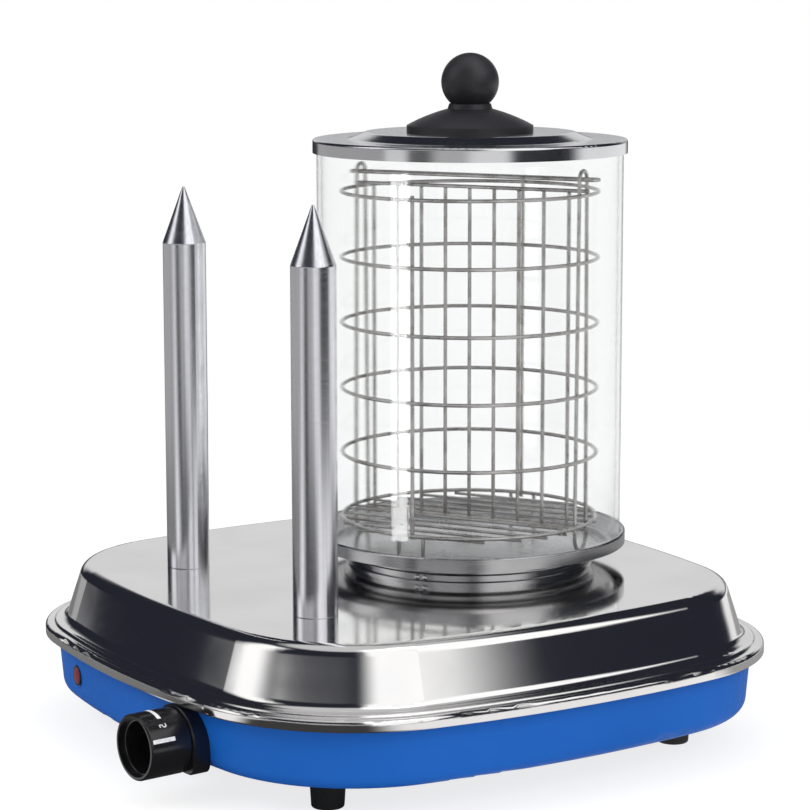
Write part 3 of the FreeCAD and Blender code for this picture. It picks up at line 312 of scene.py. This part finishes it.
def spun_steel(name, tone, roughness, centre):
    """Steel with fine rings round an upright axis."""
    material, shader, n = new_material(name, 1.0, roughness, (tone, tone, tone))
    line = n.add("ShaderNodeCombineXYZ")
    n.put(axis_distance(n, centre), line.inputs[0])
    n.put(n.place()[2], line.inputs[2])
    rings = n.noise(line.outputs[0], RING_SCALE, 2.0, 0.7)
    cloud = n.noise(n.coords((9.0, 9.0, 9.0)), 2.0, 3.0)
    dark = (tone * 0.90, tone * 0.90, tone * 0.92)
    tint = n.mix(n.ramp(rings, 0.3, 0.7), dark, (tone, tone, tone * 1.01))
    stain = (tone * 0.86, tone * 0.86, tone * 0.88)
    n.put(n.mix(n.ramp(cloud, 0.3, 0.7, 0.0, 0.35), tint, stain), shader.inputs["Base Color"])
    ringed = n.ramp(rings, 0.3, 0.7, roughness - 0.05, roughness + 0.05)
    n.put(n.math("ADD", ringed, n.ramp(cloud, 0.3, 0.7, 0.0, 0.04)), shader.inputs["Roughness"])
    n.put(n.bump(rings, 0.05, GRAIN_DEPTH), shader.inputs["Normal"])
    return material


def satin_aluminium():
    """Turned aluminium: fine upright grain, with the turning marks only a hint."""
    material, shader, n = new_material("satin_aluminium", 1.0, 0.24, (0.80, 0.80, 0.85),
                                       Anisotropic=0.3)
    grain = n.noise(n.coords((900.0, 900.0, 6.0)), 1.0, 3.0, 0.6)
    turning = n.noise(n.coords((4.0, 4.0, 3000.0)), 1.0, 1.0)
    color = n.mix(n.ramp(grain, 0.3, 0.7), (0.76, 0.76, 0.81), (0.86, 0.86, 0.90))
    n.put(color, shader.inputs["Base Color"])
    n.put(n.ramp(turning, 0.3, 0.7, 0.22, 0.27), shader.inputs["Roughness"])
    n.put(n.bump(turning, 0.012, GRAIN_DEPTH), shader.inputs["Normal"])
    return material


def bright_wire():
    """Drawn and plated wire with duller patches."""
    material, shader, n = new_material("bright_wire", 1.0, 0.20, (0.40, 0.38, 0.37))
    dull = n.noise(n.coords((60.0, 60.0, 60.0)), 1.5, 3.0)
    color = n.mix(n.ramp(dull, 0.4, 0.75), (0.46, 0.45, 0.44), (0.29, 0.27, 0.255))
    n.put(color, shader.inputs["Base Color"])
    n.put(n.ramp(dull, 0.3, 0.8, 0.18, 0.32), shader.inputs["Roughness"])
    n.put(n.bump(n.noise(n.coords(), 1800.0, 2.0), 0.05, GRAIN_DEPTH), shader.inputs["Normal"])
    return material


def blue_enamel():
    """Powder coat: even blue with a fine orange peel."""
    material, shader, n = new_material("blue_enamel", 0.0, 0.42, (0.009, 0.122, 0.50),
                                       Specular_IOR_Level=0.12)
    peel = n.noise(n.coords(), 420.0, 2.0, 0.4)
    shade = n.noise(n.coords(), 7.0, 2.0)
    color = n.mix(n.ramp(shade, 0.35, 0.65), (0.008, 0.114, 0.475), (0.011, 0.128, 0.525))
    n.put(color, shader.inputs["Base Color"])
    n.put(n.ramp(peel, 0.3, 0.7, 0.38, 0.48), shader.inputs["Roughness"])
    n.put(n.bump(peel, 0.06, PEEL_DEPTH), shader.inputs["Normal"])
    return material


def moulded(name, color, roughness, grain_scale, coat=0.0):
    """Moulded plastic, rubber or ceramic with a fine surface grain."""
    material, shader, n = new_material(name, 0.0, roughness, color, Coat_Weight=coat,
                                       Coat_Roughness=0.15)
    grain = n.noise(n.coords(), grain_scale, 3.0, 0.6)
    cloud = n.noise(n.coords(), 40.0, 2.0)
    lighter = tuple(min(c * 1.5 + 0.004, 1.0) for c in color)
    n.put(n.mix(n.ramp(cloud, 0.3, 0.8, 0.0, 0.6), color, lighter), shader.inputs["Base Color"])
    smoothest = max(roughness - 0.06, 0.03)
    n.put(n.ramp(grain, 0.3, 0.7, smoothest, roughness + 0.06), shader.inputs["Roughness"])
    n.put(n.bump(grain, 0.10, GRAIN_DEPTH), shader.inputs["Normal"])
    return material


def plated(name, color, roughness):
    """Plated or galvanised metal of the hidden fasteners and brackets."""
    material, shader, n = new_material(name, 1.0, roughness, color)
    spangle = n.add("ShaderNodeTexVoronoi")
    n.put(n.coords(), spangle.inputs["Vector"])
    n.put(260.0, spangle.inputs["Scale"])
    cells = n.add("ShaderNodeSeparateColor")
    n.put(spangle.outputs["Color"], cells.inputs[0])
    dark = tuple(c * 0.82 for c in color)
    n.put(n.mix(cells.outputs[0], color, dark), shader.inputs["Base Color"])
    uneven = n.ramp(cells.outputs[1], 0.0, 1.0, roughness - 0.06, roughness + 0.08)
    n.put(uneven, shader.inputs["Roughness"])
    return material


def clear_glass():
    """Clear thin glass: mostly straight through, with a coat for its reflections."""
    material, shader, n = new_material("clear_glass", 0.0, 0.0, (0.99, 0.995, 0.995),
                                       Transmission_Weight=1.0, IOR=1.01, Coat_Weight=1.0,
                                       Coat_Roughness=0.0, Coat_IOR=1.5)
    drawn = n.noise(n.coords((2.0, 2.0, 24.0)), 3.0, 1.0)
    n.put(n.bump(drawn, 0.02, DRAWN_DEPTH), shader.inputs["Coat Normal"])
    path = n.add("ShaderNodeLightPath")
    clear = n.add("ShaderNodeBsdfTransparent")
    clear.inputs["Color"].default_value = (0.985, 0.99, 0.99, 1.0)
    share = n.ramp(path.outputs["Is Shadow Ray"], 0.0, 1.0, GLASS_CLEAR, 1.0)
    show(material, n.blend(share, shader, clear), n)
    return material


def red_lens():
    """Dark translucent lens with moulded ribs behind its face."""
    material, shader, n = new_material("red_lens", 0.0, 0.15, (0.20, 0.012, 0.02), Coat_Weight=0.3)
    ribs = n.add("ShaderNodeTexWave", bands_direction="X")
    n.put(n.coords(), ribs.inputs["Vector"])
    n.put(420.0, ribs.inputs["Scale"])
    color = n.mix(ribs.outputs["Fac"], (0.13, 0.006, 0.014), (0.26, 0.014, 0.028))
    n.put(color, shader.inputs["Base Color"])
    n.put(n.bump(ribs.outputs["Fac"], 0.2, GRAIN_DEPTH), shader.inputs["Normal"])
    return material


def print_white():
    """Pad printed marks on the dial."""
    material, shader, n = new_material("print_white", 0.0, 0.45, (0.80, 0.80, 0.80))
    ink = n.noise(n.coords(), 900.0, 3.0)
    color = n.mix(n.ramp(ink, 0.35, 0.6), (0.66, 0.66, 0.67), (0.86, 0.86, 0.86))
    n.put(color, shader.inputs["Base Color"])
    n.put(n.bump(ink, 0.1, INK_DEPTH), shader.inputs["Normal"])
    return material


def make_materials():
    """One material for each slot in the record."""
    centre = tuple(AXIS)
    return {
        "blue_enamel": blue_enamel(),
        "polished_steel": polished_steel(),
        "satin_aluminium": satin_aluminium(),
        # The bowl's tone of 0.50, well under the lid's 0.80, is painted shade: the same steel darkened for the
        # shade inside the bowl.
        "bowl_steel": spun_steel("bowl_steel", 0.50, 0.20, centre),
        "lid_steel": spun_steel("lid_steel", 0.80, 0.13, centre),
        "bright_wire": bright_wire(),
        "clear_glass": clear_glass(),
        "black_bakelite": moulded("black_bakelite", (0.016, 0.016, 0.019), 0.46, 900.0),
        "black_plastic": moulded("black_plastic", (0.007, 0.007, 0.008), 0.20, 1200.0, 0.2),
        "foot_rubber": moulded("foot_rubber", (0.014, 0.014, 0.014), 0.7, 700.0),
        "ceramic_white": moulded("ceramic_white", (0.66, 0.64, 0.58), 0.5, 500.0),
        "red_lens": red_lens(),
        "galvanised": plated("galvanised", (0.58, 0.60, 0.62), 0.38),
        "zinc": plated("zinc", (0.66, 0.66, 0.62), 0.30),
        "heater_steel": plated("heater_steel", (0.30, 0.29, 0.29), 0.45),
        "cast_aluminium": plated("cast_aluminium", (0.56, 0.57, 0.58), 0.5),
        "copper": plated("copper", (0.72, 0.40, 0.26), 0.3),
        "wire_sleeve": moulded("wire_sleeve", (0.50, 0.45, 0.36), 0.8, 1400.0),
    }


def dress_nodes(materials):
    """Gives each CAD node its slot's material."""
    slots = {entry["node"]: entry["material_slot"] for entry in frame["record"]["subparts"]}
    for name, node in frame["nodes"].items():
        node.data.materials.clear()
        node.data.materials.append(materials[slots[name]])


# Marks on the control knob

def on_knob(angle, out, depth):
    """A point by its angle round the knob, distance from the axis and depth behind the face."""
    away = KNOB_SIDE * math.cos(angle) + UP * math.sin(angle)
    return KNOB_FACE + away * out - KNOB_OUT * depth


def knob_strip(name, angles, depths, steps, material, taper=0.0):
    """A thin printed strip on the knob's side between two angles, in degrees, and two depths."""
    mesh = bpy.data.meshes.new(name)
    made = bmesh.new()
    rows = []
    start, end = angles
    near, far = depths
    for step in range(steps + 1):
        part = step / steps
        angle = math.radians(start + (end - start) * part)
        middle, half = (near + far) / 2, (far - near) / 2 * (1.0 - taper * (1.0 - part))
        rows.append([made.verts.new(on_knob(angle, KNOB_RADIUS + PRINT_LIFT, depth))
                     for depth in (middle - half, middle + half)])
    for first, second in zip(rows, rows[1:]):
        made.faces.new((first[0], first[1], second[1], second[0]))
    bmesh.ops.recalc_face_normals(made, faces=made.faces)
    made.to_mesh(mesh)
    made.free()
    strip = bpy.data.objects.new(name, mesh)
    bpy.context.scene.collection.objects.link(strip)
    mesh.materials.append(material)
    thick = strip.modifiers.new("thick", "SOLIDIFY")
    thick.thickness = PRINT_LIFT
    thick.offset = 1.0
    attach(strip, "knob")


def knob_number(text, angle, depth, material):
    """A number printed on the knob's side, reading round it."""
    curve = bpy.data.curves.new("dial_" + text, "FONT")
    curve.body = text
    curve.size = NUMBER_SIZE
    curve.align_x = "CENTER"
    curve.align_y = "CENTER"
    curve.extrude = PRINT_LIFT / 2
    flat = bpy.data.objects.new("dial_" + text, curve)
    bpy.context.scene.collection.objects.link(flat)
    evaluated = flat.evaluated_get(bpy.context.evaluated_depsgraph_get())
    mesh = bpy.data.meshes.new_from_object(evaluated)
    bpy.data.objects.remove(flat)
    radius = KNOB_RADIUS + PRINT_LIFT
    for vertex in mesh.vertices:
        around = math.radians(angle) - vertex.co.x / radius
        vertex.co = on_knob(around, radius + vertex.co.z, depth - vertex.co.y)
    mesh.materials.clear()
    mesh.materials.append(material)
    number = bpy.data.objects.new("dial_" + text, mesh)
    bpy.context.scene.collection.objects.link(number)
    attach(number, "knob")


def dial_marks():
    """Pointer bar, growing arc and plain numbers round the knob."""
    white = print_white()
    knob_strip("dial_pointer", POINTER_ANGLES, POINTER_DEPTHS, 6, white)
    knob_strip("dial_wedge", WEDGE_ANGLES, WEDGE_DEPTHS, 64, white, WEDGE_TAPER)
    for text, angle, depth in NUMBERS:
        knob_number(text, angle, depth, white)


# Studio

def azimuth(n, x, y):
    """Direction round the upright axis, in degrees."""
    return n.math("MULTIPLY", n.math("ARCTAN2", y, x), DEGREES)


def total(n, base, layers):
    """Sum of a level and several (strength, mask) layers."""
    for strength, mask in layers:
        base = n.math("ADD", base, n.math("MULTIPLY", mask, strength))
    return base


def ring_of_bands(n, turn, base, bands):
    """Level by direction, from a table of bands."""
    return total(n, base, [(level, n.band(turn, low, high, edge))
                           for level, low, high, edge in bands])


def camera_or_glass(n, path):
    """One for rays from the camera and for those that went through glass."""
    return n.math("MAXIMUM", path.outputs["Is Camera Ray"], path.outputs["Is Transmission Ray"])


def mirrored_floor(n, path):
    """Level of the floor as metal and glass mirror it, and the place's share of the horizon."""
    x, y = n.place()[:2]
    turn = azimuth(n, x, y)
    distance = axis_distance(n, (0.0, 0.0))
    near = ring_of_bands(n, turn, FLOOR_BASE, FLOOR_BANDS)
    horizon = ring_of_bands(n, turn, HORIZON_BASE, HORIZON_BANDS)
    far = n.ramp(distance, *HORIZON_FADE)
    level = n.math("ADD", n.math("MULTIPLY", near, n.math("SUBTRACT", 1.0, far)),
                   n.math("MULTIPLY", horizon, far))
    strip_turn = azimuth(n, n.math("SUBTRACT", x, STRIP_ORIGIN[0]),
                         n.math("SUBTRACT", y, STRIP_ORIGIN[1]))
    sharp = n.math("MULTIPLY", path.outputs["Is Singular Ray"], n.ramp(distance, *STRIP_FADE))
    window = n.math("MULTIPLY", n.band(strip_turn, *STRIP_BAND), sharp)
    level = n.math("ADD", level, n.math("MULTIPLY", window, STRIP))
    return level, n.ramp(distance, *FLOOR_FADE)


def make_floor():
    """White floor with a faint shadow; metal sees it white, grey or dark, as in the studio."""
    mesh = bpy.data.meshes.new("floor")
    half = FLOOR_SIZE / 2
    corners = [(-half, -half, 0), (half, -half, 0), (half, half, 0), (-half, half, 0)]
    mesh.from_pydata(corners, [], [(0, 1, 2, 3)])
    floor = bpy.data.objects.new("floor", mesh)
    bpy.context.scene.collection.objects.link(floor)
    material = bpy.data.materials.new("floor")
    material.use_nodes = True
    n = Nodes(material.node_tree)
    material.node_tree.nodes.remove(material.node_tree.nodes["Principled BSDF"])
    path = n.add("ShaderNodeLightPath")
    seen = camera_or_glass(n, path)
    through = n.math("SUBTRACT", 1.0, path.outputs["Is Transmission Ray"])
    glossy = n.math("MULTIPLY", path.outputs["Is Glossy Ray"], through)
    level, away = mirrored_floor(n, path)
    plain = n.glow(n.ramp(away, 0.0, 1.0, FLOOR_GLOW, 1.0))
    lit = n.add("ShaderNodeAddShader")
    n.put(n.matt(FLOOR_MATTE).outputs[0], lit.inputs[0])
    n.put(plain.outputs[0], lit.inputs[1])
    ground = n.blend(away, lit, plain)
    bare = n.blend(seen, n.matt(FLOOR_BOUNCE), ground)
    show(material, n.blend(glossy, bare, n.glow(level)), n)
    mesh.materials.append(material)


def make_room():
    """White background, even light, and panels in a dark room as metal and glass reflect them."""
    world = bpy.data.worlds.new("studio")
    bpy.context.scene.world = world
    world.use_nodes = True
    n = Nodes(world.node_tree)
    x, y, z = n.place("Generated")
    turn = azimuth(n, x, y)
    rise = n.math("MULTIPLY", n.math("ARCSINE", z), DEGREES)
    path = n.add("ShaderNodeLightPath")
    layers = [(level, n.math("MULTIPLY", n.band(turn, *wide), n.band(rise, *tall)))
              for level, wide, tall in ROOM_PANELS]
    faint = n.math("MULTIPLY", n.band(turn, *FAINT_TURN), n.ramp(rise, *FAINT_RISE, 1.0, 0.0))
    layers += [(ROOM_FAINT, faint), (ROOM_TOP, n.ramp(rise, *TOP_RISE))]
    horizon = ring_of_bands(n, turn, HORIZON_BASE, HORIZON_BANDS)
    low = n.math("MULTIPLY", horizon, n.ramp(rise, *LOW_RISE, 1.0, 0.0))
    level = n.math("ADD", total(n, 0.0, layers), low)
    white = n.add("ShaderNodeCombineColor")
    for socket in white.inputs:
        n.put(level, socket)
    room = n.mix(1.0, white.outputs[0], ROOM_DARK, "ADD")
    lit = n.mix(path.outputs["Is Glossy Ray"], AMBIENT, room)
    color = n.mix(camera_or_glass(n, path), lit, PLAIN_WHITE)
    n.put(color, world.node_tree.nodes["Background"].inputs["Color"])


def make_lights():
    """Soft lamps from the left front, the right and above, not mirrored by metal."""
    for name, place, size, power in LAMPS:
        lamp = bpy.data.lights.new(name, "AREA")
        lamp.shape = "RECTANGLE"
        lamp.size, lamp.size_y = size
        lamp.energy = power
        holder = bpy.data.objects.new(name, lamp)
        holder.location = place
        direction = Vector(LAMP_TARGET) - Vector(place)
        holder.rotation_euler = direction.to_track_quat("-Z", "Y").to_euler()
        holder.visible_glossy = False
        holder.visible_transmission = False
        bpy.context.scene.collection.objects.link(holder)


def make_camera():
    """Camera at the photograph's place and angle."""
    data = bpy.data.cameras.new("camera")
    data.sensor_fit = "HORIZONTAL"
    data.sensor_width = SENSOR_WIDTH
    data.lens = CAMERA_LENS
    data.clip_start = CAMERA_NEAR
    camera = bpy.data.objects.new("camera", data)
    turn, dip = math.radians(CAMERA_TURN), math.radians(CAMERA_DIP)
    look = Vector((-math.sin(turn) * math.cos(dip), math.cos(turn) * math.cos(dip), -math.sin(dip)))
    aim = look.to_track_quat("-Z", "Y").to_matrix().to_4x4()
    roll = Matrix.Rotation(math.radians(CAMERA_ROLL), 4, "Z")
    camera.matrix_world = Matrix.Translation(CAMERA_PLACE) @ aim @ roll
    bpy.context.scene.collection.objects.link(camera)
    bpy.context.scene.camera = camera


bpy.context.scene.view_settings.view_transform = "Standard"
dress_nodes(make_materials())
dial_marks()
make_floor()
make_room()
make_lights()
make_camera()
